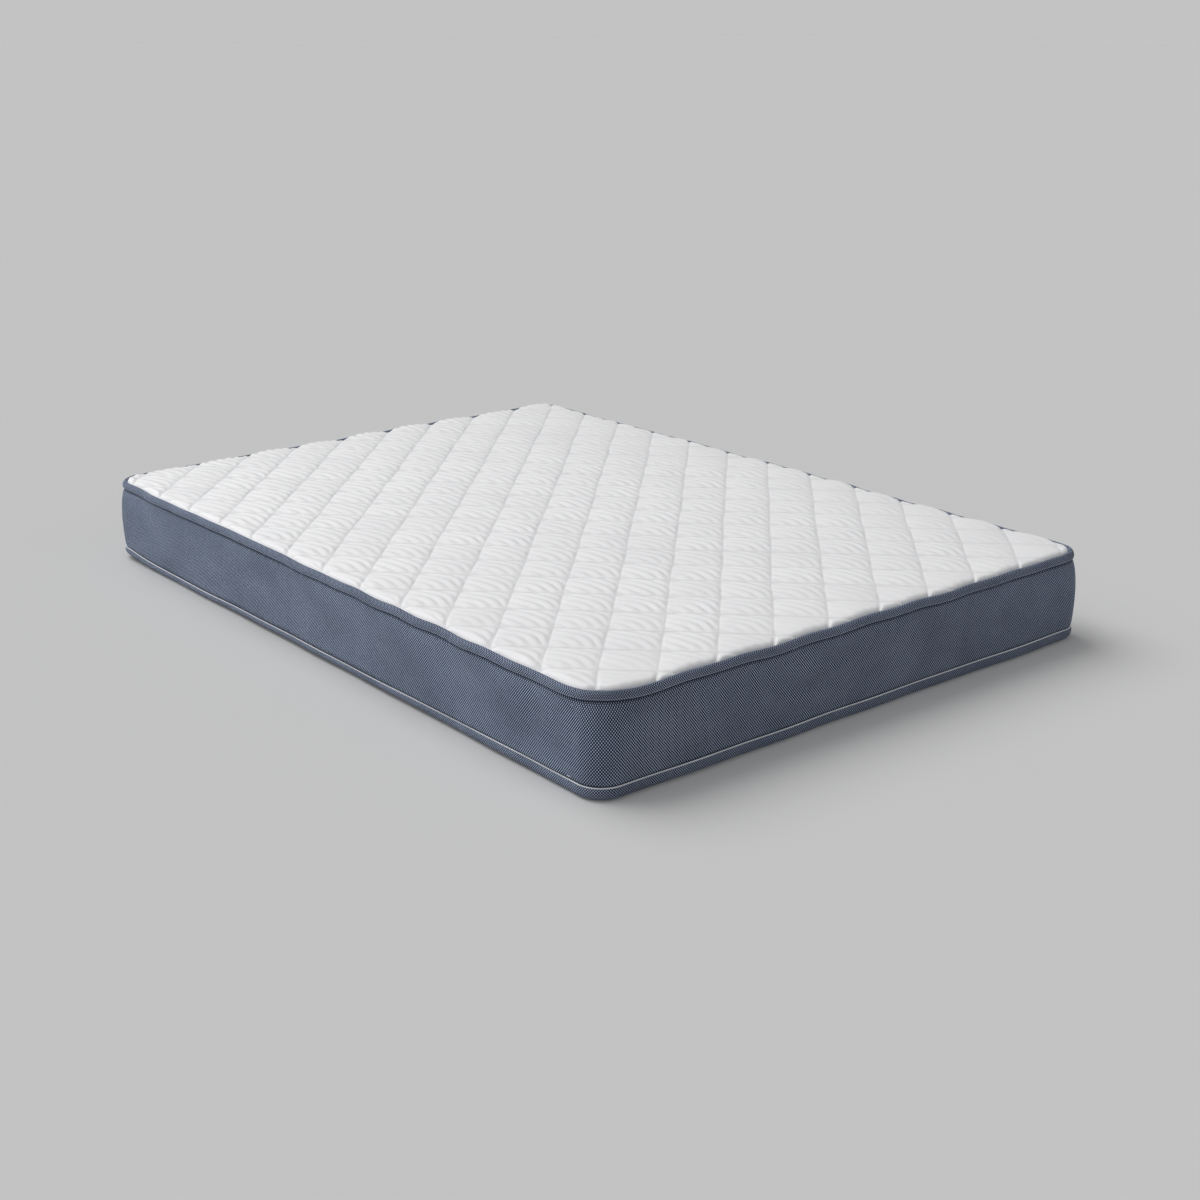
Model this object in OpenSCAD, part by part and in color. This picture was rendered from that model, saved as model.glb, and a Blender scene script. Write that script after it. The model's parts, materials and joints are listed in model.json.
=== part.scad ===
// Quilted memory foam mattress, full size, built as a tape-edged cover around a stack of foam layers.
// Frame: +Z up, origin at the middle of the underside, +Y along the length. Millimetres.

/* [Mattress] */
// Width over the border fabric
mattress_w = 1372; // [900:1:2000]
// Length over the border fabric
mattress_l = 1905; // [1500:1:2200]
// Height of the quilted sleeping surface above the underside
mattress_h = 205; // [180:1:260]
// Corner radius of the border in plan
corner_r = 80; // [60:1:90]

/* [Foam stack] */
// Thickness of the memory foam layer
memory_t = 50; // [25:1:60]
// Thickness of the transition foam layer
transition_t = 25; // [15:1:30]
// Thickness of the adhesive film between two foam layers
adhesive_t = 0.4; // [0.2:0.1:0.8]

/* [Cover] */
// Thickness of the knitted top fabric with the fibre wadding under it
ticking_t = 7; // [5:0.5:7]
// Thickness of the foam that is quilted to the top fabric
quilt_foam_t = 16; // [12:1:16]
// Thickness of the non-woven sheet that backs the quilting
backing_t = 1; // [0.5:0.1:1.5]
// Thickness of the border fabric
border_t = 2.2; // [1.5:0.1:2.2]
// Thickness of the soft lining behind the border fabric
lining_t = 6; // [4:0.5:6]
// Thickness of the fire barrier sock
barrier_t = 1.4; // [1:0.1:1.5]
// Inset of the inner edge of the barrier's hem, which turns under the foam
barrier_hem = 46; // [34:1:48]
// Thickness of the underside fabric
base_cloth_t = 2.4; // [2:0.1:3]

/* [Tape edge] */
// Thickness of the binding tape
tape_t = 1.4; // [1:0.1:1.6]
// Height of the tape's outer leg
tape_h = 12; // [11:1:13]
// How far the tape is drawn in from the border's outer face
tape_inset = 2; // [1:0.5:3]
// Radius of the tape's fold
tape_fold_r = 4; // [3.5:0.1:4.5]
// Length of the overlap where the tape's two ends meet
tape_lap = 28; // [15:1:40]
// Where the lap lies along the head end
tape_lap_x = 140; // [-400:10:400]
// Thread radius
thread_r = 0.6; // [0.4:0.1:0.8]

/* [Quilting] */
// Diagonal of one quilted diamond
quilt_pitch = 146.5; // [100:0.5:200]
// Where a crossing of two quilting lines lies, across the width
quilt_x = -23; // [-70:1:70]
// Where a crossing of two quilting lines lies, along the length
quilt_y = 44; // [-70:1:70]
// Turn of the quilting from square with the sides, in degrees
quilt_turn = 1; // [-2:0.5:2]
// Depth of the sewn channel in the top fabric
channel_d = 2.2; // [1.5:0.1:2.5]

/* [Hidden] */
$fn = 48;

slack = 0.1;             // clearance between neighbouring layers
valley_z = 20;           // depth of the tape's valley below the sleeping surface and above the underside
edge_run = 52;           // inset at which the top panel's rounded edge becomes flat
base_run = 22;           // inset at which the underside becomes flat

tape_top = mattress_h - 7;                   // top of the upper tape's fold
mirror_z = tape_top + 1;                     // a lower edge part is the upper one taken from this height
tape_in = tape_inset + 2 * tape_fold_r;      // inset of the tape's inner face
fold_z = tape_top - tape_fold_r;             // centre height of the upper fold
lip_out = tape_inset + tape_t;               // inset of the outer face of the sewn flange
lip_in = tape_in - tape_t;                   // inset of the inner face of the sewn flange
lip_mid = lip_out + border_t;                // where border fabric and panel fabric meet in the flange
lip_top = fold_z - 1;                        // top of the upper flange
lip_root = mattress_h - valley_z - 5;        // underside of the top panel at its flange
web_t = 4.5;                                 // thickness of the panel fabric where it leaves the flange
inner_leg = 9;                               // height of the tape's inner leg

top_under = mattress_h - ticking_t;          // underside of the top fabric
quilt_under = top_under - quilt_foam_t;      // underside of the quilted foam
backing_under = quilt_under - backing_t;     // underside of the quilt backing
quilt_inset = 17;                            // inset of the quilted foam's foot
edge_mid = 30;                               // inset of the middle of the top's rounded edge
lap_step = tape_t * 0.6;                     // how much thicker the tape is at its lap
stitch_up = 2;                               // height of the stitching above the tape's outer edge
border_seam_x = -230;                        // place of the border's seam along the head end
seam_groove = 2 * thread_r + slack;          // width and depth of that seam's groove

barrier_out = border_t + lining_t + 3 * slack;      // inset of the barrier's outer face
foam_inset = barrier_out + barrier_t + slack;       // inset of the foam block
barrier_top = min(backing_under, lip_root) - slack; // top of the fire barrier
foam_top = barrier_top - barrier_t - slack;
chamfer_x = base_run + 2;                            // inset and height between which the barrier
chamfer_z = mirror_z - lip_root + 5;                 // and the base foam are cut back at the foot
barrier_low = base_cloth_t + slack;
foam_bottom = barrier_low + barrier_t + slack;
memory_z = foam_top - memory_t;
transition_z = memory_z - adhesive_t - transition_t;
base_top = transition_z - adhesive_t;

border_low = mirror_z - lip_root + 4;        // height where the border leaves the lower flange
border_high = lip_root - 4;                  // height where the border enters the upper flange
channel_s = channel_d * sqrt(2);             // side of the square bar that cuts a sewn channel
line_count = ceil((mattress_w + mattress_l) / quilt_pitch / 2);
line_len = 1.5 * (mattress_w + mattress_l);  // longer than any quilting line

// A plan outline of the mattress drawn in by an inset.
module outline(inset) {
    r = corner_r - inset;
    x = mattress_w / 2 - corner_r;
    y = mattress_l / 2 - corner_r;
    union() {
        square([2 * (x + r), 2 * y], center = true);
        square([2 * x, 2 * (y + r)], center = true);
        for (sx = [-1, 1], sy = [-1, 1]) translate([sx * x, sy * y]) circle(r = r);
    }
}

// A flat layer of the outline's shape.
module layer(inset, z, t) {
    translate([0, 0, z]) linear_extrude(height = t) outline(inset);
}

// One straight run of a swept profile, on the +X side of a body of that width and length.
module run(width, length) {
    translate([0, length / 2 - corner_r, 0]) rotate([90, 0, 0])
        linear_extrude(height = length - 2 * corner_r)
            translate([width / 2, 0]) mirror([1, 0]) children();
}

// Sweeps a profile, drawn as inset and height, all round the outline.
module sweep() {
    union() {
        for (turn = [0, 180]) {
            rotate(turn) run(mattress_w, mattress_l) children();
            rotate(turn + 90) run(mattress_l, mattress_w) children();
        }
        for (turn = [0 : 3]) {
            sx = (turn == 0 || turn == 3) ? 1 : -1;
            sy = (turn < 2) ? 1 : -1;
            translate([sx * (mattress_w / 2 - corner_r), sy * (mattress_l / 2 - corner_r), 0])
                rotate(turn * 90) rotate_extrude(angle = 90)
                    translate([corner_r, 0]) mirror([1, 0]) children();
        }
    }
}

// A swept edge profile with a flat layer inside it.
module edged_layer(profile, core_inset, z, t) {
    union() {
        sweep() polygon(profile);
        layer(core_inset, z, t);
    }
}

// The tape's section: an outer leg, a round fold at the top and a shorter inner leg.
// grow is what the lap adds outside.
module tape_section(grow) {
    outer = tape_fold_r + grow;
    inner = tape_fold_r - tape_t;
    translate([tape_inset + tape_fold_r, fold_z]) difference() {
        union() {
            circle(r = outer);
            translate([-outer, -tape_h]) square([outer, tape_h]);
            translate([0, -inner_leg]) square([tape_fold_r, inner_leg]);
        }
        union() {
            circle(r = inner);
            translate([-inner, -2 * tape_h]) square([2 * inner, 2 * tape_h]);
        }
    }
}

// The upper tape, with the lap of its two ends off the middle of the head end.
module upper_tape() {
    union() {
        sweep() tape_section(0);
        translate([tape_lap_x + tape_lap / 2, mattress_l / 2, 0]) rotate([90, 0, -90])
            linear_extrude(height = tape_lap) tape_section(lap_step);
    }
}

// Turns an upper edge part into the matching lower one.
module flip() {
    translate([0, 0, mirror_z]) mirror([0, 0, 1]) children();
}

// The line of stitching along the tape's outer leg, which stops short of the lap.
module tape_thread() {
    difference() {
        sweep() translate([tape_inset - thread_r - slack / 2, fold_z - tape_h + stitch_up])
            circle(r = thread_r);
        translate([tape_lap_x - tape_lap / 2 - 1, 0, 0]) cube([tape_lap + 2, mattress_l, mattress_h]);
    }
}

module top_tape() {
    color("#3d4a63") upper_tape();
}

module bottom_tape() {
    color("#3d4a63") flip() upper_tape();
}

module top_tape_thread() {
    color("#8d97a8") tape_thread();
}

module bottom_tape_thread() {
    color("#d5dae2") flip() tape_thread();
}

// Half of the border's section, from mid height up into the flange.
function border_half() = [
    [0, border_high - 2], [lip_out, border_high + 3.5], [lip_out, lip_top],
    [lip_mid, lip_top], [lip_mid, border_high + 2.5], [border_t, border_high - 3]];

function flipped(points) = [for (k = [len(points) - 1 : -1 : 0])
    [points[k][0], mirror_z - points[k][1]]];

// The border strip all round, with the groove of the seam that closes it into a loop.
module border_panel() {
    color("#4a5a75") difference() {
        sweep() polygon(concat(border_half(), flipped(border_half())));
        translate([border_seam_x - seam_groove / 2, mattress_l / 2 - seam_groove, border_low])
            cube([seam_groove, 2 * seam_groove, border_high - border_low]);
    }
}

module border_lining() {
    color("#e9e6dc") sweep() translate([border_t + slack, border_low + 8])
        square([lining_t, border_high - border_low - 14]);
}

// The vertical seam at the head end, sunk in the border's groove.
module border_seam_thread() {
    color("#aab2c0") translate([border_seam_x, mattress_l / 2 - seam_groove / 2, border_low + 8])
        cylinder(r = thread_r, h = border_high - border_low - 16);
}

// The barrier covers the foam's top and sides, and its hem turns under the foam.
module fire_barrier() {
    outer = [[barrier_out, barrier_top], [barrier_out, chamfer_z], [chamfer_x, barrier_low],
             [barrier_hem, barrier_low]];
    inner = [[barrier_hem, barrier_low + barrier_t], [chamfer_x + barrier_t / 2, barrier_low + barrier_t],
             [barrier_out + barrier_t, chamfer_z + barrier_t / 2], [barrier_out + barrier_t, barrier_top]];
    color("#f4f2ea") union() {
        sweep() polygon(concat(outer, inner));
        layer(barrier_out, barrier_top - barrier_t, barrier_t);
    }
}

// The base layer has its lower edge cut back, where the cover turns in, and settles onto the
// underside fabric inside the barrier's hem.
module base_foam() {
    core = chamfer_x + 2;
    low = base_cloth_t + slack;
    edge = [[core, foam_bottom], [chamfer_x + 1, foam_bottom], [foam_inset, chamfer_z + 1],
            [foam_inset, base_top], [core, base_top]];
    color("#f1ead2") union() {
        edged_layer(edge, core, foam_bottom, base_top - foam_bottom);
        layer(barrier_hem + 1, low, base_top - low);
    }
}

module lower_adhesive() {
    color("#d9d2b8") layer(foam_inset + 6, base_top, adhesive_t);
}

module transition_foam() {
    color("#cfe0ea") layer(foam_inset, transition_z, transition_t);
}

module upper_adhesive() {
    color("#d9d2b8") layer(foam_inset + 6, transition_z + transition_t, adhesive_t);
}

module memory_foam() {
    color("#f6f1df") layer(foam_inset, memory_z, memory_t);
}

module quilt_backing() {
    color("#efefef") layer(quilt_inset, backing_under, backing_t);
}

module quilt_foam() {
    edge = [[edge_run, quilt_under], [quilt_inset, quilt_under], [quilt_inset + 2, top_under - 12],
            [edge_mid, top_under - 6], [edge_run, top_under]];
    color("#fafafa") edged_layer(edge, edge_run, quilt_under, quilt_foam_t);
}

// Square bars along one family of quilting lines, at 45 degrees to the sides. hand is 1 or -1,
// and roll turns a bar about its own length.
module quilting_bars(hand, z, side, roll) {
    translate([quilt_x, quilt_y, z]) rotate(quilt_turn) for (k = [-line_count : line_count])
        translate([hand * k * quilt_pitch / 2, -k * quilt_pitch / 2, 0])
            rotate([0, 0, 45 * hand]) rotate([roll, 0, 0]) cube([line_len, side, side], center = true);
}

// Edge of the top panel, from its sewn flange through the tape's valley to the crown.
function panel_edge() = [
    [lip_mid, lip_root], [lip_mid, lip_top], [lip_in, lip_top],
    [lip_in, lip_root + web_t], [tape_in + 1, lip_root + web_t], [tape_in + 2, mattress_h - 16],
    [edge_mid, mattress_h - 7], [edge_run, mattress_h], [edge_run, top_under],
    [edge_mid, top_under - 5.5], [quilt_inset + 1, top_under - 11], [quilt_inset - 1, lip_root + 0.5],
    [quilt_inset - 1, lip_root]];

module top_panel() {
    color("#f2f3f5") difference() {
        union() {
            sweep() polygon(panel_edge());
            layer(edge_run, top_under, ticking_t);
        }
        for (hand = [-1, 1]) quilting_bars(hand, mattress_h, channel_s, 45);
    }
}

// One family of threads lies over the other, both inside the channels.
module quilt_thread() {
    low = mattress_h - channel_d / 2;
    color("#e4e6ea") intersection() {
        union() {
            quilting_bars(-1, low, thread_r, 0);
            quilting_bars(1, low + thread_r + slack, thread_r, 0);
        }
        layer(edge_run, top_under, 2 * ticking_t);
    }
}

// The underside's edge drops from its flange inside the tape to the flat underside.
module bottom_panel() {
    root = mirror_z - lip_root;
    low_lip = mirror_z - lip_top;
    edge = [[lip_mid, low_lip], [lip_mid, root], [tape_in + 2, root], [base_run + 1, base_cloth_t],
            [base_run, 0], [base_run - 1.5, 0], [tape_in + 1, root - web_t], [lip_in, root - web_t],
            [lip_in, low_lip]];
    color("#d8d9dc") edged_layer(edge, base_run, 0, base_cloth_t);
}

bottom_panel();
bottom_tape();
bottom_tape_thread();
border_panel();
border_lining();
border_seam_thread();
fire_barrier();
base_foam();
lower_adhesive();
transition_foam();
upper_adhesive();
memory_foam();
quilt_backing();
quilt_foam();
top_panel();
quilt_thread();
top_tape();
top_tape_thread();
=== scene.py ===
"""The full-size memory foam mattress: quilted knit top, dotted mesh border and bound tape edges."""
import json
import math

import bpy
import numpy as np
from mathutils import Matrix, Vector


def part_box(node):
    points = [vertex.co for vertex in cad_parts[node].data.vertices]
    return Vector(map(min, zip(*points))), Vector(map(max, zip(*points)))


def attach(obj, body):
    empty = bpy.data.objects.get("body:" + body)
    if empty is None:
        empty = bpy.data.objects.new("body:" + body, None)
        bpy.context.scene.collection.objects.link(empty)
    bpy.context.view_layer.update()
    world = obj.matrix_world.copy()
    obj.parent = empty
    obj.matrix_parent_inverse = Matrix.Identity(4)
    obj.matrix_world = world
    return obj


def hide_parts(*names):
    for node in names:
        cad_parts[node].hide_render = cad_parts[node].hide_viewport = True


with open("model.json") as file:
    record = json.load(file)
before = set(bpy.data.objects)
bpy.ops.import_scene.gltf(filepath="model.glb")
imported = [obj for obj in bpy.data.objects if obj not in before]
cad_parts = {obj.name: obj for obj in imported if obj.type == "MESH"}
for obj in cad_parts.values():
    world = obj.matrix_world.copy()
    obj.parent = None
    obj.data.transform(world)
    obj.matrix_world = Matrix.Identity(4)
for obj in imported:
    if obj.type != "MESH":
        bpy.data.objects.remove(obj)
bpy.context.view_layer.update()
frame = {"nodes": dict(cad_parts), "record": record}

MM = 0.001
TAU = 2 * math.pi

# ---------------------------------------------------------------- sizes, from the CAD frame
border_low, border_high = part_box("border_panel")
tape_low, tape_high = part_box("top_tape")
foot_tape_low, foot_tape_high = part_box("bottom_tape")
WIDTH = border_high[0] - border_low[0]
LENGTH = border_high[1] - border_low[1]
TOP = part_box("top_panel")[1][2]
TAPE_TOP = tape_high[2]
TAPE_FOOT = tape_low[2]
FOOT_TAPE_LOW = foot_tape_low[2]
FOOT_TAPE_HIGH = foot_tape_high[2]
SEAM_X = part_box("border_seam_thread")[0][0]
LINING_LOW, LINING_HIGH = (corner[2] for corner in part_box("border_lining"))

CORNER = 56 * MM
LAP_X = 140 * MM
LAP = 28 * MM
PITCH = 146.5 * MM          # diagonal of a quilted diamond
QUILT_X = -23 * MM          # a crossing of two quilting lines
QUILT_Y = 44 * MM
QUILT_TURN = math.radians(1)
FAR = 1.0                   # distance to the next crease, for cloth that has none near
STATION = 5 * MM            # spacing of the rings in a swept strip

HALF_HEAD = WIDTH / 2 - CORNER
HALF_SIDE = LENGTH / 2 - CORNER
SIDE = LENGTH - 2 * CORNER
HEAD = WIDTH - 2 * CORNER
ARC = CORNER * math.pi / 2
GIRTH = 2 * SIDE + 2 * HEAD + 4 * ARC

# Places along the girth, which starts in the middle of the head end and goes towards -X
MID_LEFT = HALF_HEAD + ARC + SIDE / 2
MID_FOOT = MID_LEFT + SIDE / 2 + ARC + HEAD / 2
MID_RIGHT = MID_FOOT + HEAD / 2 + ARC + SIDE / 2
HEAD_LEFT = HALF_HEAD + ARC / 2
FOOT_LEFT = MID_LEFT + SIDE / 2 + ARC / 2
FOOT_RIGHT = MID_FOOT + HEAD / 2 + ARC / 2
HEAD_RIGHT = GIRTH - HEAD_LEFT


# ---------------------------------------------------------------- helpers
def mesh_piece(name, points, faces, cloth=None):
    """A smooth mesh object. faces is an array of index rows. cloth gives each point its place on the flat
    cloth, and its distance to the nearest crease."""
    points = np.asarray(points, dtype=np.float32)
    faces = np.asarray(faces, dtype=np.int32)
    mesh = bpy.data.meshes.new(name)
    mesh.vertices.add(len(points))
    mesh.vertices.foreach_set("co", points.ravel())
    mesh.loops.add(faces.size)
    mesh.loops.foreach_set("vertex_index", faces.ravel())
    mesh.polygons.add(len(faces))
    mesh.polygons.foreach_set("loop_start", np.arange(len(faces), dtype=np.int32) * faces.shape[1])
    mesh.update(calc_edges=True)
    mesh.polygons.foreach_set("use_smooth", np.ones(len(faces), dtype=bool))
    if cloth is not None:
        layer = mesh.attributes.new("cloth", "FLOAT_VECTOR", "POINT")
        layer.data.foreach_set("vector", np.asarray(cloth, dtype=np.float32).ravel())
    piece = bpy.data.objects.new(name, mesh)
    bpy.context.scene.collection.objects.link(piece)
    return piece


def smooth(x):
    x = np.clip(x, 0, 1)
    return x * x * (3 - 2 * x)


def undulation(seed, lowest, highest, size, period=GIRTH):
    """A smooth periodic wave along the girth: a sum of sines of whole wave numbers, of about that size."""
    draw = np.random.default_rng(seed)
    numbers = np.arange(lowest, highest + 1)
    sizes = draw.normal(size=len(numbers)) / math.sqrt(len(numbers) / 2)
    phases = draw.uniform(0, TAU, len(numbers))

    def wave(s):
        s = np.asarray(s, dtype=float)
        turns = TAU * s[..., None] * numbers / period
        return size * (np.sin(turns + phases) * sizes).sum(-1)
    return wave


def place(s):
    """The point on the border's outline, and its outward normal, at length s from the middle of the head end.
    s runs anticlockwise seen from above, first towards -X."""
    s = np.mod(np.asarray(s, dtype=float), GIRTH)
    runs = [HALF_HEAD, ARC, SIDE, ARC, HEAD, ARC, SIDE, ARC, HALF_HEAD]
    starts = np.concatenate([[0], np.cumsum(runs)])
    part = np.clip(np.searchsorted(starts, s, side="right") - 1, 0, 8)
    along = s - starts[part]
    x, y = HALF_HEAD, HALF_SIDE
    angle_at = np.radians([90, 90, 180, 180, 270, 270, 360, 360, 450])
    bend = np.where(part % 2 == 1, along / CORNER, 0)
    angle = angle_at[part] + bend
    normal = np.stack([np.cos(angle), np.sin(angle)], -1)
    centres = np.array([[0, y], [-x, y], [-x, y], [-x, -y], [-x, -y], [x, -y], [x, -y], [x, y], [x, y]])
    forward = np.stack([-np.sin(angle_at[part]), np.cos(angle_at[part])], -1)
    straight = np.where(part % 2 == 1, 0, along)
    return centres[part] + forward * straight[:, None] + normal * CORNER, normal


def nearest(x, y):
    """How far a point lies inside the outline, and the outline's s next to it."""
    out_x = np.abs(x) - HALF_HEAD
    out_y = np.abs(y) - HALF_SIDE
    in_corner = (out_x > 0) & (out_y > 0)
    inset = np.where(in_corner, CORNER - np.hypot(out_x, out_y), CORNER - np.maximum(out_x, out_y))
    on_side = np.where(x < 0, MID_LEFT - y, MID_RIGHT + y)
    on_end = np.where(y > 0, -x, MID_FOOT + x)
    s = np.where(out_x > out_y, on_side, on_end)
    turn = np.arctan2(np.maximum(out_y, 0), np.maximum(out_x, 1e-9))
    first = HALF_HEAD + ARC
    corner_s = np.select(
        [(x < 0) & (y > 0), (x < 0) & (y <= 0), (x >= 0) & (y <= 0)],
        [first - turn * CORNER, first + SIDE + turn * CORNER, MID_FOOT + HEAD / 2 + ARC - turn * CORNER],
        MID_RIGHT + SIDE / 2 + turn * CORNER)
    return inset, np.where(in_corner, corner_s, s)


def strip_faces(rings, across, closed):
    """Quads between rings of points, with the outside on the left of the way round."""
    columns = across if closed else across - 1
    ring, column = np.meshgrid(np.arange(rings - 1), np.arange(columns), indexing="ij")
    after = (column + 1) % across
    quads = np.stack([ring * across + column, (ring + 1) * across + column,
                      (ring + 1) * across + after, ring * across + after], -1)
    return quads.reshape(-1, 4)


def curve_through(points, steps):
    """A smooth curve through a few points: a Catmull-Rom spline with that many steps from one to the next."""
    p = np.asarray(points, dtype=float)
    p = np.vstack([2 * p[0] - p[1], p, 2 * p[-1] - p[-2]])
    t = np.linspace(0, 1, steps, endpoint=False)[:, None]
    rows = []
    for a, b, c, d in zip(p, p[1:], p[2:], p[3:]):
        rows.append(0.5 * (2 * b + (c - a) * t + (2 * a - 5 * b + 4 * c - d) * t ** 2
                           + (3 * b - a - 3 * c + d) * t ** 3))
    return np.vstack(rows + [p[-2:-1]])


# ---------------------------------------------------------------- how the sewn edges wander
def away(s, centre):
    """The distance along the girth from a place on it, the shorter way round."""
    return np.abs(np.mod(np.asarray(s, dtype=float) - centre + GIRTH / 2, GIRTH) - GIRTH / 2)


def bell(s, centre, width, flat=2):
    """A smooth hump along the girth, from 0 up to 1. A larger flat gives it a broader top."""
    return np.exp(-(away(s, centre) / width) ** flat)


slow_rise = undulation(3, 4, 26, 0.8 * MM)
quilt_rise = undulation(4, 38, 50, 0.6 * MM)      # the quilting's pull, about once a diamond
slow_sway = undulation(5, 5, 30, 0.8 * MM)
quilt_sway = undulation(6, 38, 50, 0.4 * MM)
foot_wave = undulation(8, 4, 24, 0.45 * MM)
foot_drift = undulation(9, 5, 28, 0.8 * MM)
CORNER_REACH = 88 * MM
CORNER_DEPTHS = ((HEAD_LEFT, 9 * MM), (FOOT_LEFT, 13 * MM), (FOOT_RIGHT, 8 * MM), (HEAD_RIGHT, 6 * MM))


def corner_draw(s):
    """How far the top edge is drawn in at each corner, which makes it rounder than the foot."""
    drawn = 0
    for centre, depth in CORNER_DEPTHS:
        share = np.clip(away(s, centre) / CORNER_REACH, 0, 1)
        drawn = drawn + depth * np.cos(share * math.pi / 2) ** 2
    return drawn


def head_rise(s):
    """The upper tape's height above its even run."""
    return slow_rise(s) + quilt_rise(s) + 1.8 * MM * bell(s, FOOT_LEFT, 0.08)


def head_sway(s):
    """The upper tape's place outside its even run, apart from the corners' draw."""
    return slow_sway(s) + quilt_sway(s)


def head_out(s):
    return head_sway(s) - corner_draw(s)


def foot_rise(s):
    """The lower tape's height above its even run, never below the floor."""
    lifted = 3.4 * MM * bell(s, MID_LEFT + 0.05, 0.5) + 7 * MM * bell(s, HEAD_LEFT + 0.03, 0.09)
    return np.maximum(1.0 * MM + foot_wave(s) + lifted, 0)


def foot_out(s):
    """The lower tape's place outside its even run."""
    tucked = 5.0 * MM * bell(s, MID_LEFT, 0.85, 4) + 1.5 * MM * bell(s, MID_FOOT + 0.12, 0.15)
    tucked = tucked + 3 * MM * bell(s, FOOT_LEFT - 0.05, 0.06)
    return foot_drift(s) - tucked + 3.5 * MM * bell(s, MID_FOOT - 0.47, 0.2)


def foot_tall(s):
    """How much of the lower tape's height shows, because part of one side is rolled under."""
    return 1 - 0.36 * bell(s, MID_LEFT - 0.2, 0.75, 4)


def foot_stitch_height(s):
    """The height of the pale stitching, just under the lower tape's upper edge."""
    return foot_rise(s) + 25 * MM * foot_tall(s)


# ---------------------------------------------------------------- the quilted top
GRID = PITCH / 26
RIPPLES = 6                      # ripples to one pitch
RIPPLE_HEIGHT = 2 * MM
ROLL_START = 10.6 * MM           # inset at which the cloth comes up beside the tape
ROLL_PILLOW = 10 * MM            # width of the rolled edge of a diamond's middle
ROLL_SEAM = 36 * MM              # width of the rolled edge along a seam, which makes a notch there
ROLL_FOOT = TAPE_TOP - 10 * MM   # height of the cloth beside the tape
CROWN = 4.6 * MM                 # height of a diamond's middle above its seams
VALLEY = TOP - 3.6 * MM          # height of the seams
SNAP_INSET = 36 * MM             # the grid's points nearer to the edge aren't moved onto the seams
DRIFT = 1.2 * MM                 # how far a sewn line strays from straight


def turned(x, y):
    """Turns a vector from the quilting's own axes to the mattress's."""
    cosine, sine = math.cos(QUILT_TURN), math.sin(QUILT_TURN)
    return x * cosine - y * sine, x * sine + y * cosine


def quilt_lines(x, y):
    """How many quilting lines lie between the point and the first crossing, for each of the two families."""
    from_x, from_y = x - QUILT_X, y - QUILT_Y
    across = (from_x * math.cos(QUILT_TURN) + from_y * math.sin(QUILT_TURN)) / PITCH
    along = (from_y * math.cos(QUILT_TURN) - from_x * math.sin(QUILT_TURN)) / PITCH
    return across + along, across - along


def snap_to_seams(x, y):
    """Moves the grid's points that lie next to a quilting line onto it, so that each seam is crisp."""
    a, b = quilt_lines(x, y)
    reach = 0.49 * GRID / PITCH
    inside = nearest(x, y)[0] > SNAP_INSET
    off_a = np.where(inside & (np.abs(a - np.round(a)) < reach), a - np.round(a), 0) * PITCH / 2
    off_b = np.where(inside & (np.abs(b - np.round(b)) < reach), b - np.round(b), 0) * PITCH / 2
    off_x, off_y = turned(off_a + off_b, off_a - off_b)
    return x - off_x, y - off_y


def diamond_draws(a, b, seed):
    """One random number from -1 to 1 for each diamond, the same for every point in it."""
    cell = np.floor(a) * 127.1 + np.floor(b) * 311.7 + seed * 74.7
    return 2 * np.mod(np.sin(cell) * 43758.5453, 1) - 1


def pillow(a, b):
    """From 0 on a seam to 1 in the middle of a diamond."""
    return (np.abs(np.sin(math.pi * a)) * np.abs(np.sin(math.pi * b))) ** 0.52


def ripples(x, y, a, b):
    """The knit's puckers inside each diamond: crests along the length, bowed towards +X near the foot end."""
    mid_a, mid_b = np.floor(a) + 0.5, np.floor(b) + 0.5
    local_x = ((a - mid_a) + (b - mid_b)) / 2
    local_y = ((a - mid_a) - (b - mid_b)) / 2
    near = smooth((0.35 - y / LENGTH) / 0.7)
    bow = 0.08 + 0.20 * near
    lean = 0.20 - 0.10 * near + 0.08 * diamond_draws(a, b, 1)
    across = local_x + bow * local_y ** 2 * 2.2 + lean * local_y
    phase = TAU * RIPPLES * across + 1.3 * diamond_draws(a, b, 2)
    phase += 0.45 * np.sin(TAU * 1.7 * local_y + 2 * diamond_draws(a, b, 3))
    size = 0.85 + 0.3 * diamond_draws(a, b, 4)
    pinned = smooth(np.minimum(np.abs(np.sin(math.pi * a)), np.abs(np.sin(math.pi * b))) / 0.35)
    fade = 0.4 + 0.6 * smooth((WIDTH / 2 - x) / (420 * MM)) * smooth((y + LENGTH / 2) / (200 * MM))
    return (np.sin(phase) + 0.35 * np.sin(2 * phase + 1)) * size * pinned * fade


def top_height(x, y):
    """Height of the quilted cloth over a point."""
    a, b = quilt_lines(x, y)
    inset, s = nearest(x, y)
    swell = pillow(a, b)
    plump = np.maximum(smooth(2.1 * swell), bell(s, FOOT_RIGHT, 0.09, 4))
    rolled = np.clip((inset - ROLL_START) / (ROLL_SEAM + (ROLL_PILLOW - ROLL_SEAM) * plump), 0, 1)
    round_off = 1.7 + 0.9 * plump
    roll = (1 - (1 - rolled) ** round_off) ** (1 / round_off)
    crown = CROWN * (1 + 0.12 * diamond_draws(a, b, 5)) * swell + RIPPLE_HEIGHT * ripples(x, y, a, b)
    height = ROLL_FOOT + (VALLEY - ROLL_FOOT) * roll + crown * smooth((inset - ROLL_START) / (12 * MM))
    return height + head_rise(s) * smooth(1 - (inset - ROLL_START) / (90 * MM))


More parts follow.
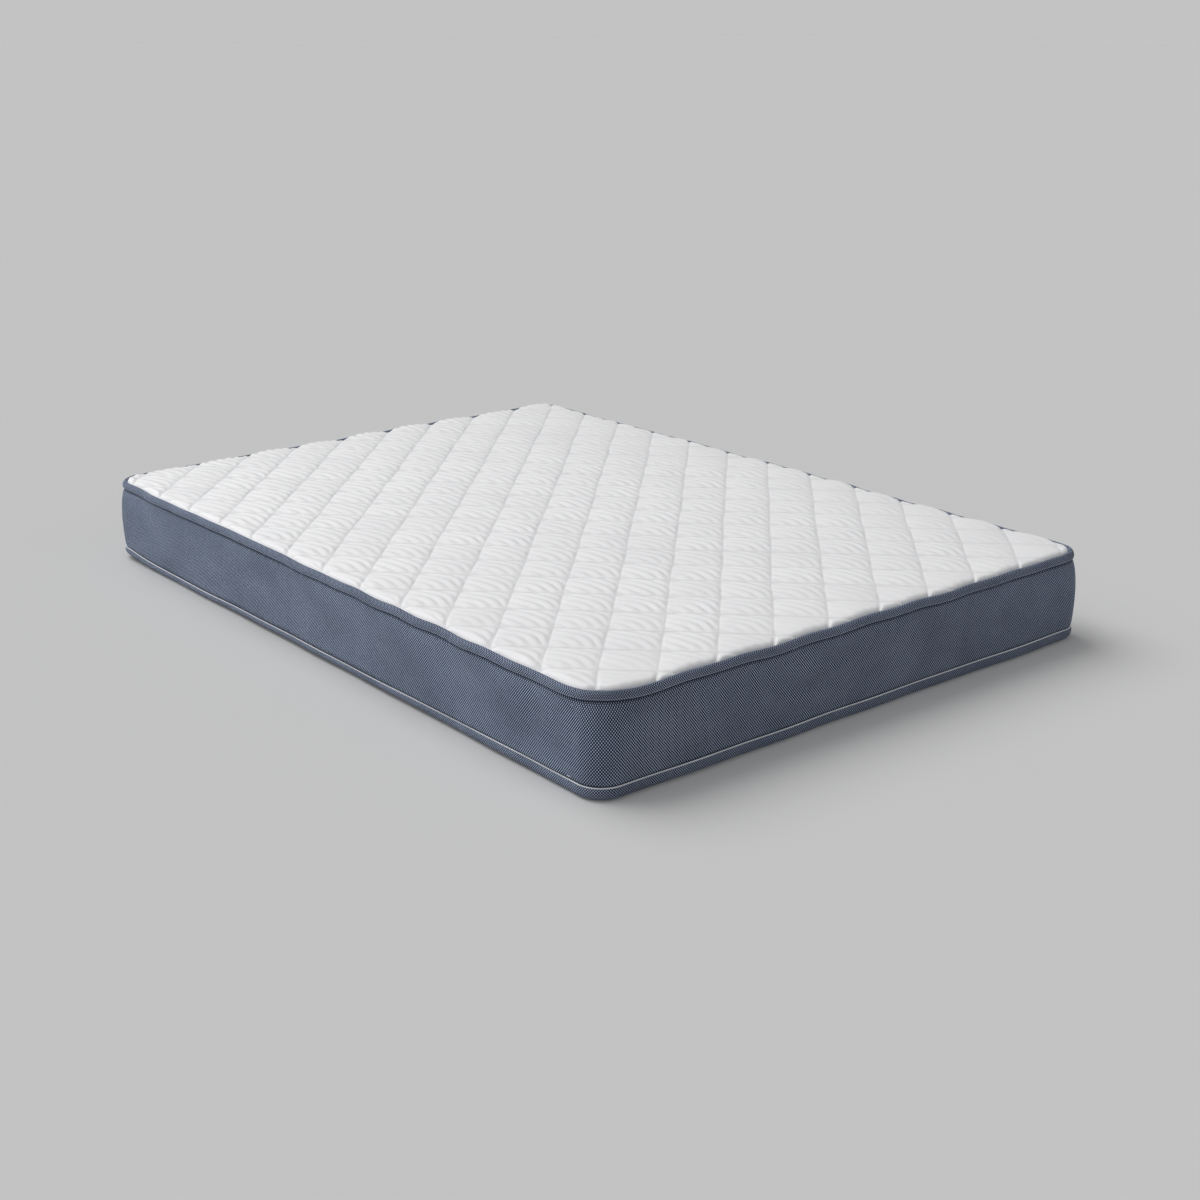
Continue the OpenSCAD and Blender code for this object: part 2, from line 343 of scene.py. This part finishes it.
def wander(x, y):
    """The sewn lines' small drift from straight, none at the edges."""
    hold = smooth(nearest(x, y)[0] / (120 * MM))
    drift_x = np.sin(TAU * (x * 1.3 + y * 2.1) + 1.1) + 0.7 * np.sin(TAU * (y * 4.3 - x * 2.9) + 4)
    drift_y = np.sin(TAU * (y * 1.7 - x * 1.9) + 2.3) + 0.7 * np.sin(TAU * (x * 4.7 + y * 2.3) + 0.4)
    return x + DRIFT * hold * drift_x, y + DRIFT * hold * drift_y


def grid_lines(half, offset):
    """Grid coordinates along one axis: regular inside, so that the seams run through its points, and closer
    together at the rolled edges."""
    insets = np.array([9.6, 9.9, 10.7, 11.3, 12.2, 13.5, 15.2, 17.4, 20.2, 23.6, 27.6, 32]) * MM
    last = half - 35 * MM
    first_step = math.ceil((-last - offset) / GRID)
    last_step = math.floor((last - offset) / GRID)
    middle = offset + GRID * np.arange(first_step, last_step + 1)
    return np.concatenate([-half + insets, middle, (half - insets)[::-1]])


def round_corners(x, y):
    """Maps the square corners of the grid onto the outline's round ones."""
    out_x = np.abs(x) - HALF_HEAD
    out_y = np.abs(y) - HALF_SIDE
    corner = (out_x > 0) & (out_y > 0)
    pull = np.where(corner, np.maximum(out_x, out_y) / np.hypot(out_x, out_y), 1)
    new_x = np.where(corner, np.sign(x) * (HALF_HEAD + out_x * pull), x)
    new_y = np.where(corner, np.sign(y) * (HALF_SIDE + out_y * pull), y)
    return new_x, new_y


def grid_faces(x, y, diagonal):
    """Two triangles for each cell of a grid, split along +X+Y where diagonal is true."""
    rows, columns = x.shape
    row, column = np.meshgrid(np.arange(rows - 1), np.arange(columns - 1), indexing="ij")
    p = row * columns + column
    q, r, t = p + columns, p + columns + 1, p + 1
    rising = np.stack([np.stack([p, q, r], -1), np.stack([p, r, t], -1)], 2)
    falling = np.stack([np.stack([p, q, t], -1), np.stack([q, r, t], -1)], 2)
    return np.where(diagonal[:, :, None, None], rising, falling).reshape(-1, 3)


def make_top_panel():
    """The quilted knit, as a grid whose points lie on the seams."""
    x, y = np.meshgrid(grid_lines(WIDTH / 2, QUILT_X), grid_lines(LENGTH / 2, QUILT_Y), indexing="ij")
    x, y = snap_to_seams(*round_corners(x, y))
    centre_x = (x[1:, 1:] + x[:-1, :-1]) / 2
    centre_y = (y[1:, 1:] + y[:-1, :-1]) / 2
    a, b = quilt_lines(centre_x, centre_y)
    rising = np.abs(b - np.round(b)) < np.abs(a - np.round(a))
    z = top_height(x, y)
    inset, s = nearest(x, y)
    flat_x, flat_y = x, y
    x, y = wander(x, y)
    push = head_out(s) * smooth(1 - (inset - ROLL_START) / (70 * MM))
    normal = place(s.ravel())[1].reshape(x.shape + (2,))
    points = np.stack([x + push * normal[..., 0], y + push * normal[..., 1], z], -1).reshape(-1, 3)
    a, b = quilt_lines(flat_x, flat_y)
    from_seam = np.minimum(np.abs(a - np.round(a)), np.abs(b - np.round(b))) * PITCH / math.sqrt(2)
    cloth = np.stack([flat_x, flat_y, from_seam], -1).reshape(-1, 3)
    return mesh_piece("top_panel_knit", points, grid_faces(x, y, rising), cloth)


def stitches(name, starts, ends, radius, sag=0.0):
    """Small thread stitches, each a slim spindle of four sides. Its two ends lie lower by sag."""
    starts, ends = np.asarray(starts), np.asarray(ends)
    way = ends - starts
    way /= np.linalg.norm(way, axis=1, keepdims=True)
    up = np.where(np.abs(way[:, 2:3]) < 0.9, np.array([[0.0, 0.0, 1.0]]), np.array([[1.0, 0.0, 0.0]]))
    side = np.cross(way, up)
    side /= np.linalg.norm(side, axis=1, keepdims=True)
    above = np.cross(side, way)
    count = len(starts)
    rows = [starts - above * sag]
    sides = 4
    for share in (0.18, 0.82):
        middle = starts + (ends - starts) * share
        for k in range(sides):
            angle = TAU * (k + 0.5) / sides
            rows.append(middle + radius * (math.cos(angle) * side + math.sin(angle) * above))
    rows.append(ends - above * sag)
    points = np.stack(rows, 1).reshape(-1, 3)
    faces = []
    tip = 2 * sides + 1
    for k in range(sides):
        near, far = 1 + k, 1 + sides + k
        near_after, far_after = 1 + (k + 1) % sides, 1 + sides + (k + 1) % sides
        faces += [[0, near_after, near], [near, near_after, far_after], [near, far_after, far],
                  [tip, far, far_after]]
    faces = (np.array(faces)[None] + (tip + 1) * np.arange(count)[:, None, None]).reshape(-1, 3)
    return mesh_piece(name, points, faces)


def make_quilt_thread():
    """Lock stitches along every quilting line, at the bottom of its channel."""
    step, stitch = 5.2 * MM, 3.9 * MM
    rows = []
    reach = (WIDTH + LENGTH) / 2
    last_line = 26
    for hand in (-1, 1):
        for line in range(-last_line, last_line + 1):
            t = np.arange(-reach, reach, step)
            for shift in (0, stitch):
                along = (t + shift) / math.sqrt(2)
                x, y = turned(line * PITCH / 2 + along, hand * (along - line * PITCH / 2))
                rows.append(np.stack([QUILT_X + x, QUILT_Y + y], -1))
    starts, ends = np.vstack(rows[0::2]), np.vstack(rows[1::2])
    middle = (starts + ends) / 2
    inside = nearest(middle[:, 0], middle[:, 1])[0] > 17 * MM
    starts, ends = starts[inside], ends[inside]

    def on_cloth(p):
        x, y = wander(p[:, 0], p[:, 1])
        return np.stack([x, y, top_height(p[:, 0], p[:, 1]) + 0.1 * MM], -1)
    return stitches("quilt_lock_stitches", on_cloth(starts), on_cloth(ends), 0.3 * MM, 0.4 * MM)


# ---------------------------------------------------------------- the border strip
FOOT_TUCK = 2.6 * MM             # how deep the cloth is pulled in above the lower tape
HEAD_TUCK = 8.0 * MM             # and below the upper tape
BELLY = 1.6 * MM                 # how far the cloth stands out between the tapes
LINING_GAP = 1.7 * MM            # the cloth comes no further inside the outline than this, beside the lining
FOOT_TAPE_SHOWN = 24 * MM        # height of the lower tape where all of it shows
SEAM_DIP = 1.3 * MM


def make_border():
    """The dotted strip, tucked in under both tapes and bellied between them."""
    s = np.linspace(-SEAM_X, GIRTH - SEAM_X, round(GIRTH / STATION) + 1)
    point, normal = place(s)
    low, high = FOOT_TAPE_HIGH - 3 * MM, TAPE_FOOT + 3 * MM
    rows = 30
    share = (1 - np.cos(np.linspace(0, math.pi, rows))) / 2
    share = 0.6 * share + 0.4 * np.linspace(0, 1, rows)
    height = low + (high - low) * share[None, :] * np.ones((len(s), 1))
    from_low = height - low
    from_high = high - height
    above_foot_tape = np.maximum(height - (FOOT_TAPE_LOW + FOOT_TAPE_SHOWN * foot_tall(s)[:, None]), 0)
    tuck = FOOT_TUCK * np.exp(-above_foot_tape / (5 * MM)) + HEAD_TUCK * np.exp(-from_high / (7.5 * MM))
    full = BELLY + 4.5 * MM * bell(s, FOOT_RIGHT, 0.09) + 2 * MM * bell(s, HEAD_LEFT, 0.09)
    belly = full[:, None] * np.sin(math.pi * share[None, :]) ** 0.8
    broad = undulation(21, 6, 22, 0.8 * MM)(s)[:, None] * np.sin(math.pi * share[None, :])
    broad = broad + undulation(22, 8, 30, 0.6 * MM)(s)[:, None] * np.sin(TAU * share[None, :])
    fine_high = undulation(23, 90, 260, 0.42 * MM)(s)[:, None] * np.exp(-from_high / (22 * MM))
    fine_low = undulation(24, 90, 260, 0.36 * MM)(s)[:, None] * np.exp(-from_low / (20 * MM))
    sway = head_sway(s)[:, None] * share[None, :] ** 3 + foot_out(s)[:, None] * (1 - share[None, :]) ** 3
    sway = sway - corner_draw(s)[:, None] * share[None, :] ** 3
    out = belly + broad + fine_high + fine_low + sway - tuck
    at_seam = np.minimum(s + SEAM_X, GIRTH - SEAM_X - s)[:, None]
    out = out - SEAM_DIP * np.exp(-at_seam / (5 * MM))
    beside_lining = (height > LINING_LOW - 6 * MM) & (height < LINING_HIGH + 4 * MM)
    out = np.where(beside_lining, np.maximum(out, -LINING_GAP - corner_draw(s)[:, None]), out)
    rise = head_rise(s)[:, None] * share[None, :] ** 2 + foot_rise(s)[:, None] * (1 - share[None, :]) ** 2
    x = point[:, 0:1] + out * normal[:, 0:1]
    y = point[:, 1:2] + out * normal[:, 1:2]
    points = np.stack([x, y, height + rise], -1).reshape(-1, 3)
    from_crease = np.minimum(above_foot_tape, np.maximum(TAPE_FOOT - height, 0))
    cloth = np.stack([s[:, None] + 0 * height, height, from_crease], -1).reshape(-1, 3)
    return mesh_piece("border_mesh_strip", points, strip_faces(len(s), rows, False), cloth)


def make_border_seam():
    """The chain of stitches that closes the border strip."""
    low, high = FOOT_TAPE_HIGH + 2 * MM, TAPE_FOOT - 2 * MM
    z = np.arange(low, high, 4 * MM)
    y = LENGTH / 2 + 0.3 * MM
    starts = np.stack([z * 0 + SEAM_X, z * 0 + y, z], -1)
    ends = starts + np.array([0, 0, 3.2 * MM])
    return stitches("border_seam_stitches", starts, ends, 0.45 * MM)


# ---------------------------------------------------------------- the binding tapes
def sweep_strip(name, profile, s, rise, sway, lift, tall):
    """Sweeps a closed profile of insets and heights along the outline. lift adds to its outward place, and
    tall is the share of its height that it has at each station."""
    point, normal = place(s)
    inset, height = profile[:, 0], profile[:, 1]
    out = -inset[None, :] + sway(s)[:, None] + lift[:, None]
    x = point[:, 0:1] + out * normal[:, 0:1]
    y = point[:, 1:2] + out * normal[:, 1:2]
    z = height[None, :] * tall[:, None] + rise(s)[:, None]
    points = np.stack([x, y, z], -1).reshape(-1, 3)
    step = np.linalg.norm(np.diff(profile, axis=0, append=profile[:1]), axis=1)
    around = np.concatenate([[0], np.cumsum(step)[:-1]])
    cloth = np.stack([s[:, None] + 0 * z, around[None, :] + 0 * z, 0 * z + FAR], -1).reshape(-1, 3)
    return mesh_piece(name, points, strip_faces(len(s), len(profile), True), cloth)


def tape_profile(outer, thickness):
    """A closed section: the tape's outer line, and the same line drawn in by its thickness."""
    line = curve_through(outer, 4)
    way = np.gradient(line, axis=0)
    way /= np.linalg.norm(way, axis=1, keepdims=True)
    inward = np.stack([way[:, 1], -way[:, 0]], -1)
    inner = line + inward * thickness
    return np.vstack([line, inner[::-1]])


# Insets and heights of the tapes' outer faces, from the outside down over the edge to the inside
UPPER_TAPE = np.array([[4.6, -16.4], [1.4, -17.4], [-1.6, -13.4], [-1.5, -7.2], [1.1, -2.0], [5.0, 0.0],
                       [8.2, -1.2], [10.1, -4.2], [10.5, -8.0], [10.0, -12.0]]) * MM
LOWER_TAPE = np.array([[3.0, 26.0], [0.2, 25.2], [-2.4, 21.4], [-3.2, 15.5], [-1.6, 8.8], [1.8, 3.8],
                       [5.6, 0.4], [8.6, 1.4], [9.8, 4.8], [10.0, 9.0]]) * MM


def tape_run():
    """Stations of a tape, which laps over its own start."""
    return np.linspace(-LAP_X - LAP, GIRTH - LAP_X, round((GIRTH + LAP) / STATION) + 1)


def make_tapes():
    """Both binding tapes, each one piece that laps over its own start."""
    s = tape_run()
    over_start = 1.5 * MM * smooth((s - (GIRTH - LAP_X - LAP - 30 * MM)) / (24 * MM))
    upper = tape_profile(UPPER_TAPE + np.array([0, TAPE_TOP]), 1.2 * MM)
    lower = tape_profile(LOWER_TAPE + np.array([0, FOOT_TAPE_LOW]), -1.2 * MM)
    top = sweep_strip("top_tape_binding", upper, s, head_rise, head_out, over_start, np.ones(len(s)))
    foot = sweep_strip("bottom_tape_binding", lower, s, foot_rise, foot_out, over_start, foot_tall(s))
    return top, foot


def tape_stitches(name, inset, height, rise, sway, radius, step, stitch):
    """A row of stitches along a tape, one at each step and each of the length stitch."""
    s = np.arange(-LAP_X, GIRTH - LAP_X, step)
    ends = []
    for shift in (0, stitch):
        point, normal = place(s + shift)
        out = -inset + sway(s + shift)
        xy = point + out[:, None] * normal
        ends.append(np.column_stack([xy, height + rise(s + shift)]))
    return stitches(name, ends[0], ends[1], radius)


# ---------------------------------------------------------------- the underside
def make_bottom_panel():
    """The underside's cloth, which rises round its edge to the lower tape."""
    step = 18 * MM
    insets = np.array([9.8, 10.8, 12, 14, 17, 21, 26, 34, 46]) * MM
    edge_height = 14 * MM
    edge_width = 22 * MM

    def lines(half):
        middle = np.linspace(-half + 60 * MM, half - 60 * MM, round((2 * half - 120 * MM) / step))
        return np.concatenate([-half + insets, middle, (half - insets)[::-1]])
    x, y = np.meshgrid(lines(WIDTH / 2), lines(LENGTH / 2), indexing="ij")
    x, y = round_corners(x, y)
    inset, s = nearest(x, y)
    fall = np.clip((inset - insets[0]) / edge_width, 0, 1)
    z = edge_height * (1 - (1 - (1 - fall) ** 2.2) ** (1 / 2.2))
    unevenness = 1 + np.sin(TAU * 3.1 * x + 1) * np.sin(TAU * 2.7 * y)
    z = z + 0.5 * MM * unevenness * smooth((inset - 30 * MM) / 0.1)
    z = z + foot_rise(s) * (1 - fall)
    points = np.stack([x, y, z], -1).reshape(-1, 3)
    faces = grid_faces(x, y, np.ones((x.shape[0] - 1, x.shape[1] - 1), dtype=bool))[:, ::-1]
    return mesh_piece("bottom_panel_cloth", points, faces)


# ---------------------------------------------------------------- materials
class Nodes:
    """Short calls for building a material's node tree."""

    def __init__(self, name):
        self.material = bpy.data.materials.new(name)
        self.material.use_nodes = True
        self.tree = self.material.node_tree
        self.shader = self.tree.nodes["Principled BSDF"]

    def add(self, kind, **values):
        node = self.tree.nodes.new(kind)
        for key, value in values.items():
            setattr(node, key, value)
        return node

    def link(self, source, target):
        self.tree.links.new(source, target)
        return target.node

    def math(self, operation, first, second=None):
        node = self.add("ShaderNodeMath", operation=operation)
        for socket, value in zip(node.inputs, (first, second)):
            if value is None:
                continue
            if isinstance(value, (int, float)):
                socket.default_value = value
            else:
                self.link(value, socket)
        return node.outputs[0]

    def cloth(self):
        node = self.add("ShaderNodeAttribute", attribute_name="cloth")
        parts = self.add("ShaderNodeSeparateXYZ")
        self.link(node.outputs["Vector"], parts.inputs[0])
        return node.outputs["Vector"], *parts.outputs

    def place(self):
        return self.add("ShaderNodeTexCoord").outputs["Object"]

    def noise(self, where, scale, detail=2.0, rough=0.5):
        node = self.add("ShaderNodeTexNoise")
        node.inputs["Scale"].default_value = scale
        node.inputs["Detail"].default_value = detail
        node.inputs["Roughness"].default_value = rough
        self.link(where, node.inputs["Vector"])
        return node.outputs["Fac"]

    def remap(self, value, low, high, to_low=0.0, to_high=1.0, soft=False):
        node = self.add("ShaderNodeMapRange")
        if soft:
            node.interpolation_type = "SMOOTHSTEP"
        for name, number in (("From Min", low), ("From Max", high), ("To Min", to_low), ("To Max", to_high)):
            node.inputs[name].default_value = number
        self.link(value, node.inputs["Value"])
        return node.outputs["Result"]

    def mix(self, share, first, second):
        node = self.add("ShaderNodeMix", data_type="RGBA")
        self.link(share, node.inputs[0])
        for socket, colour in ((node.inputs[6], first), (node.inputs[7], second)):
            if isinstance(colour, tuple):
                socket.default_value = (*colour, 1)
            else:
                self.link(colour, socket)
        return node.outputs[2]

    def bump(self, height, strength, distance):
        node = self.add("ShaderNodeBump")
        node.inputs["Strength"].default_value = strength
        node.inputs["Distance"].default_value = distance
        self.link(height, node.inputs["Height"])
        self.link(node.outputs["Normal"], self.shader.inputs["Normal"])

    def finish(self, roughness=0.9, sheen=0.0, sheen_roughness=0.5, specular=0.3):
        self.shader.inputs["Roughness"].default_value = roughness
        self.shader.inputs["Sheen Weight"].default_value = sheen
        self.shader.inputs["Sheen Roughness"].default_value = sheen_roughness
        self.shader.inputs["Specular IOR Level"].default_value = specular
        return self.material

    def colour(self, source):
        self.link(source, self.shader.inputs["Base Color"])


def lattice(nodes, u, v, pitch_u, pitch_v):
    """A diamond lattice of round dots: 1 in the middle of a dot, -1 midway between two."""
    wave_u = nodes.math("COSINE", nodes.math("MULTIPLY", u, TAU / pitch_u))
    wave_v = nodes.math("COSINE", nodes.math("MULTIPLY", v, TAU / pitch_v))
    return nodes.math("MULTIPLY", wave_u, wave_v)


def dotted_mesh(name, ground, dot, pitch_u, pitch_v, spread=0.25):
    """Spacer mesh: pale dots standing on a dark knitted ground, with painted shade beside a crease."""
    n = Nodes(name)
    where, u, v, from_crease = n.cloth()
    dots = lattice(n, u, v, pitch_u, pitch_v)
    share = n.remap(dots, 0.12, 0.42, 0, 1, soft=True)
    blotch = n.remap(n.noise(where, 9, 3), 0.3, 0.7, 0, 1)
    faded = n.mix(blotch, dot, tuple(c * (1 - spread) for c in dot))
    deep = n.mix(blotch, ground, tuple(c * (1 + spread) for c in ground))
    # painted shade: within 1 to 8 mm of a crease the colour is mixed towards the dark ground, standing in for
    # the crease's shade
    painted_crease_shade = n.remap(from_crease, 1 * MM, 8 * MM, 0.85, 0, soft=True)
    n.colour(n.mix(painted_crease_shade, n.mix(share, deep, faded), ground))
    n.bump(dots, 0.5, 0.5 * MM)
    return n.finish(0.85, 0.04, 0.4, 0.15)


def knit_top():
    """Fine ribbed white knit, with painted shade along the seams."""
    n = Nodes("top_knit")
    where, u, v, from_seam = n.cloth()
    tone = n.remap(n.noise(where, 6, 3), 0.3, 0.7, 0, 1)
    open_cloth = n.mix(tone, (0.855, 0.855, 0.868), (0.885, 0.885, 0.893))
    # painted shade: within 3.5 mm of a seam the knit is mixed towards grey, standing in for the shade in the
    # quilting's grooves
    n.colour(n.mix(n.remap(from_seam, 0, 3.5 * MM, 0.4, 0), open_cloth, (0.52, 0.52, 0.54)))
    rib = n.math("SINE", n.math("MULTIPLY", u, TAU / (1.3 * MM)))
    loop = n.math("SINE", n.math("MULTIPLY", v, TAU / (1.0 * MM)))
    fine = n.noise(where, 900, 2)
    n.bump(n.math("ADD", n.math("MULTIPLY", rib, loop), fine), 0.12, 0.12 * MM)
    return n.finish(0.75, 0.15, 0.45, 0.3)


def thread(name, colour):
    """Sewing thread, mottled by its fibres."""
    n = Nodes(name)
    fine = n.noise(n.place(), 1800, 2)
    n.colour(n.mix(fine, colour, tuple(c * 0.82 for c in colour)))
    n.bump(fine, 0.2, 0.1 * MM)
    return n.finish(0.6, 0.1, 0.4, 0.4)


def foam(name, colour, cell):
    """Open-cell foam: painted shade in small pores, in a mottled body."""
    n = Nodes(name)
    where = n.place()
    pores = n.add("ShaderNodeTexVoronoi")
    pores.inputs["Scale"].default_value = 1 / cell
    n.link(where, pores.inputs["Vector"])
    # painted shade: the pores' hollows are darkened to 0.78 of the body's colour; the same mask gives their
    # bump
    depth = n.remap(pores.outputs["Distance"], 0.1, 0.6, 0, 1)
    body = n.mix(n.noise(where, 14, 3), colour, tuple(c * 0.93 for c in colour))
    n.colour(n.mix(depth, tuple(c * 0.78 for c in colour), body))
    n.bump(depth, 0.4, 0.3 * MM)
    return n.finish(0.95, 0.0, 0.5, 0.2)


def woven(name, colour, pitch):
    """A plain cloth of crossing threads, placed by the object's own coordinates."""
    n = Nodes(name)
    where = n.place()
    parts = n.add("ShaderNodeSeparateXYZ")
    n.link(where, parts.inputs[0])
    across = n.math("ADD", parts.outputs[0], parts.outputs[2])
    weave = lattice(n, across, parts.outputs[1], pitch, pitch)
    n.colour(n.mix(n.remap(weave, -1, 1), tuple(c * 0.8 for c in colour), colour))
    n.bump(weave, 0.3, 0.2 * MM)
    return n.finish(0.9, 0.1, 0.5, 0.2)


def grip_cloth(name, ground, dot, pitch):
    """The underside's cloth with its small raised grip dots."""
    n = Nodes(name)
    where = n.place()
    parts = n.add("ShaderNodeSeparateXYZ")
    n.link(where, parts.inputs[0])
    dots = lattice(n, parts.outputs[0], parts.outputs[1], pitch, pitch)
    share = n.remap(dots, 0.72, 0.8, 0, 1, soft=True)
    fine = n.noise(where, 700, 2)
    n.colour(n.mix(share, n.mix(fine, ground, tuple(c * 1.25 for c in ground)), dot))
    n.bump(n.math("ADD", share, n.math("MULTIPLY", fine, 0.2)), 0.5, 0.5 * MM)
    return n.finish(0.85, 0.05, 0.5, 0.3)


NAVY = (0.007, 0.012, 0.024)
DOT_PITCH = GIRTH / round(GIRTH / (5.4 * MM))
materials = {
    "top_knit": knit_top(),
    "quilt_thread": thread("quilt_thread", (0.88, 0.88, 0.89)),
    "border_mesh": dotted_mesh("border_mesh", NAVY, (0.55, 0.655, 0.87), DOT_PITCH, 6.7 * MM),
    "tape": dotted_mesh("tape", NAVY, (0.53, 0.625, 0.83), 5.0 * MM, 5.6 * MM),
    "tape_thread": thread("tape_thread", (0.40, 0.44, 0.52)),
    "light_thread": thread("light_thread", (0.92, 0.93, 0.95)),
    "base_cloth": grip_cloth("base_cloth", (0.07, 0.075, 0.085), (0.02, 0.02, 0.022), 9 * MM),
    "lining": woven("lining", (0.78, 0.77, 0.73), 2.5 * MM),
    "barrier": woven("barrier", (0.80, 0.78, 0.71), 1.8 * MM),
    "base_foam": foam("base_foam", (0.80, 0.73, 0.56), 1.6 * MM),
    "transition_foam": foam("transition_foam", (0.52, 0.66, 0.77), 1.4 * MM),
    "memory_foam": foam("memory_foam", (0.84, 0.80, 0.67), 1.0 * MM),
    "adhesive": foam("adhesive", (0.76, 0.72, 0.58), 6 * MM),
    "backing": woven("backing", (0.80, 0.80, 0.80), 3 * MM),
    "quilt_foam": foam("quilt_foam", (0.86, 0.86, 0.84), 1.2 * MM),
}

# ---------------------------------------------------------------- pieces on the frame
top_panel = make_top_panel()
quilt_thread = make_quilt_thread()
border = make_border()
border_seam = make_border_seam()
top_tape, bottom_tape = make_tapes()
top_stitches = tape_stitches("top_tape_stitches", inset=-1.2 * MM, height=TAPE_TOP - 14.4 * MM,
                             rise=head_rise, sway=head_out, radius=0.45 * MM, step=4.2 * MM,
                             stitch=3.4 * MM)
bottom_stitches = tape_stitches("bottom_tape_stitches", inset=-0.6 * MM, height=FOOT_TAPE_LOW,
                                rise=foot_stitch_height, sway=foot_out, radius=1.25 * MM, step=3.4 * MM,
                                stitch=3.5 * MM)
bottom_panel = make_bottom_panel()

pieces = (
    (top_panel, "top_panel", "top_knit"), (quilt_thread, "quilt_thread", "quilt_thread"),
    (border, "border_panel", "border_mesh"), (border_seam, "border_seam_thread", "tape_thread"),
    (top_tape, "top_tape", "tape"), (bottom_tape, "bottom_tape", "tape"),
    (top_stitches, "top_tape_thread", "tape_thread"),
    (bottom_stitches, "bottom_tape_thread", "light_thread"),
    (bottom_panel, "bottom_panel", "base_cloth"))
for piece, node, slot in pieces:
    piece.data.materials.append(materials[slot])
    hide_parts(node)
    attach(piece, "root")

slot_of = {row["node"]: row["material_slot"] for row in frame["record"]["subparts"]}
for name, node in frame["nodes"].items():
    if len(node.material_slots) == 0:
        node.data.materials.append(None)
    for place_for in node.material_slots:
        place_for.material = materials[slot_of[name]]

# ---------------------------------------------------------------- stage, light and camera
GREY = 0.546                # linear value of the plain grey surroundings
SKY = 0.11                  # linear value of the light from above
SIDE_POWER = 22             # watts
FLOOR = 0.698               # the floor's own grey, which the lights bring to that of the surroundings


def make_stage():
    """A floor that reaches past the horizon of every view."""
    half = 60
    points = [(-half, -half, 0), (half, -half, 0), (half, half, 0), (-half, half, 0)]
    floor = mesh_piece("floor", points, [[0, 1, 2, 3]])
    n = Nodes("floor")
    fine = n.noise(n.place(), 3, 2)
    n.colour(n.mix(fine, (FLOOR - 0.001,) * 3, (FLOOR + 0.001,) * 3))
    floor.data.materials.append(n.finish(1.0, 0.0, 0.5, 0.0))


def make_world():
    """Dim light from above, and the plain surroundings round the horizon."""
    world = bpy.data.worlds.new("studio")
    bpy.context.scene.world = world
    world.use_nodes = True
    tree = world.node_tree
    where = tree.nodes.new("ShaderNodeTexCoord")
    parts = tree.nodes.new("ShaderNodeSeparateXYZ")
    tree.links.new(where.outputs["Generated"], parts.inputs[0])
    fade = tree.nodes.new("ShaderNodeMapRange")
    for name, number in (("From Min", 0.12), ("From Max", 0.25), ("To Min", GREY), ("To Max", SKY)):
        fade.inputs[name].default_value = number
    tree.links.new(parts.outputs["Z"], fade.inputs["Value"])
    tree.links.new(fade.outputs["Result"], tree.nodes["Background"].inputs["Color"])


def add_sun(name, azimuth, elevation, energy, spread, shadow):
    """A far soft light. The azimuth, in degrees from +X, is where its light comes from."""
    light = bpy.data.lights.new(name, "SUN")
    light.energy = energy
    light.angle = math.radians(spread)
    light.use_shadow = shadow
    lamp = bpy.data.objects.new(name, light)
    bpy.context.scene.collection.objects.link(lamp)
    turn, rise = math.radians(azimuth), math.radians(elevation)
    towards = Vector((math.cos(turn) * math.cos(rise), math.sin(turn) * math.cos(rise), math.sin(rise)))
    lamp.rotation_euler = towards.to_track_quat("Z", "Y").to_euler()
    lamp.location = towards * 5


def add_side_light():
    """A soft light on the left that reaches only the mattress, so that its top is brighter on that side."""
    light = bpy.data.lights.new("side", "AREA")
    light.shape = "DISK"
    light.size = 1.2
    light.energy = SIDE_POWER
    light.use_shadow = False
    lamp = bpy.data.objects.new("side", light)
    bpy.context.scene.collection.objects.link(lamp)
    lamp.location = (-2.9, 1.0, 1.3)
    towards = lamp.location - Vector((-0.5, 0.2, 0.15))
    lamp.rotation_euler = towards.to_track_quat("Z", "Y").to_euler()
    lit = bpy.data.collections.new("lit_by_side")
    for thing in [*frame["nodes"].values(), *(row[0] for row in pieces)]:
        lit.objects.link(thing)
    lamp.light_linking.receiver_collection = lit


def make_camera():
    """The camera, placed and turned as in the photograph."""
    data = bpy.data.cameras.new("camera")
    data.sensor_width = 36
    data.lens = 52.3
    data.clip_end = 300
    camera = bpy.data.objects.new("camera", data)
    bpy.context.scene.collection.objects.link(camera)
    camera.location = (-2.412, -3.069, 1.310)
    towards = Vector((0.0247, -0.0953, 0)) - camera.location
    camera.rotation_euler = towards.to_track_quat("-Z", "Y").to_euler()
    bpy.context.scene.camera = camera


make_stage()
make_world()
add_sun("key", 104, 54, 1.51, 46, True)
add_sun("fill", 155, 47, 0.48, 60, False)
add_sun("ceiling", 0, 90, 0.41, 60, False)
add_sun("front", 288, 20, 0.22, 60, False)
add_side_light()
make_camera()
settings = bpy.context.scene.view_settings
settings.view_transform = "Standard"
settings.look = "None"
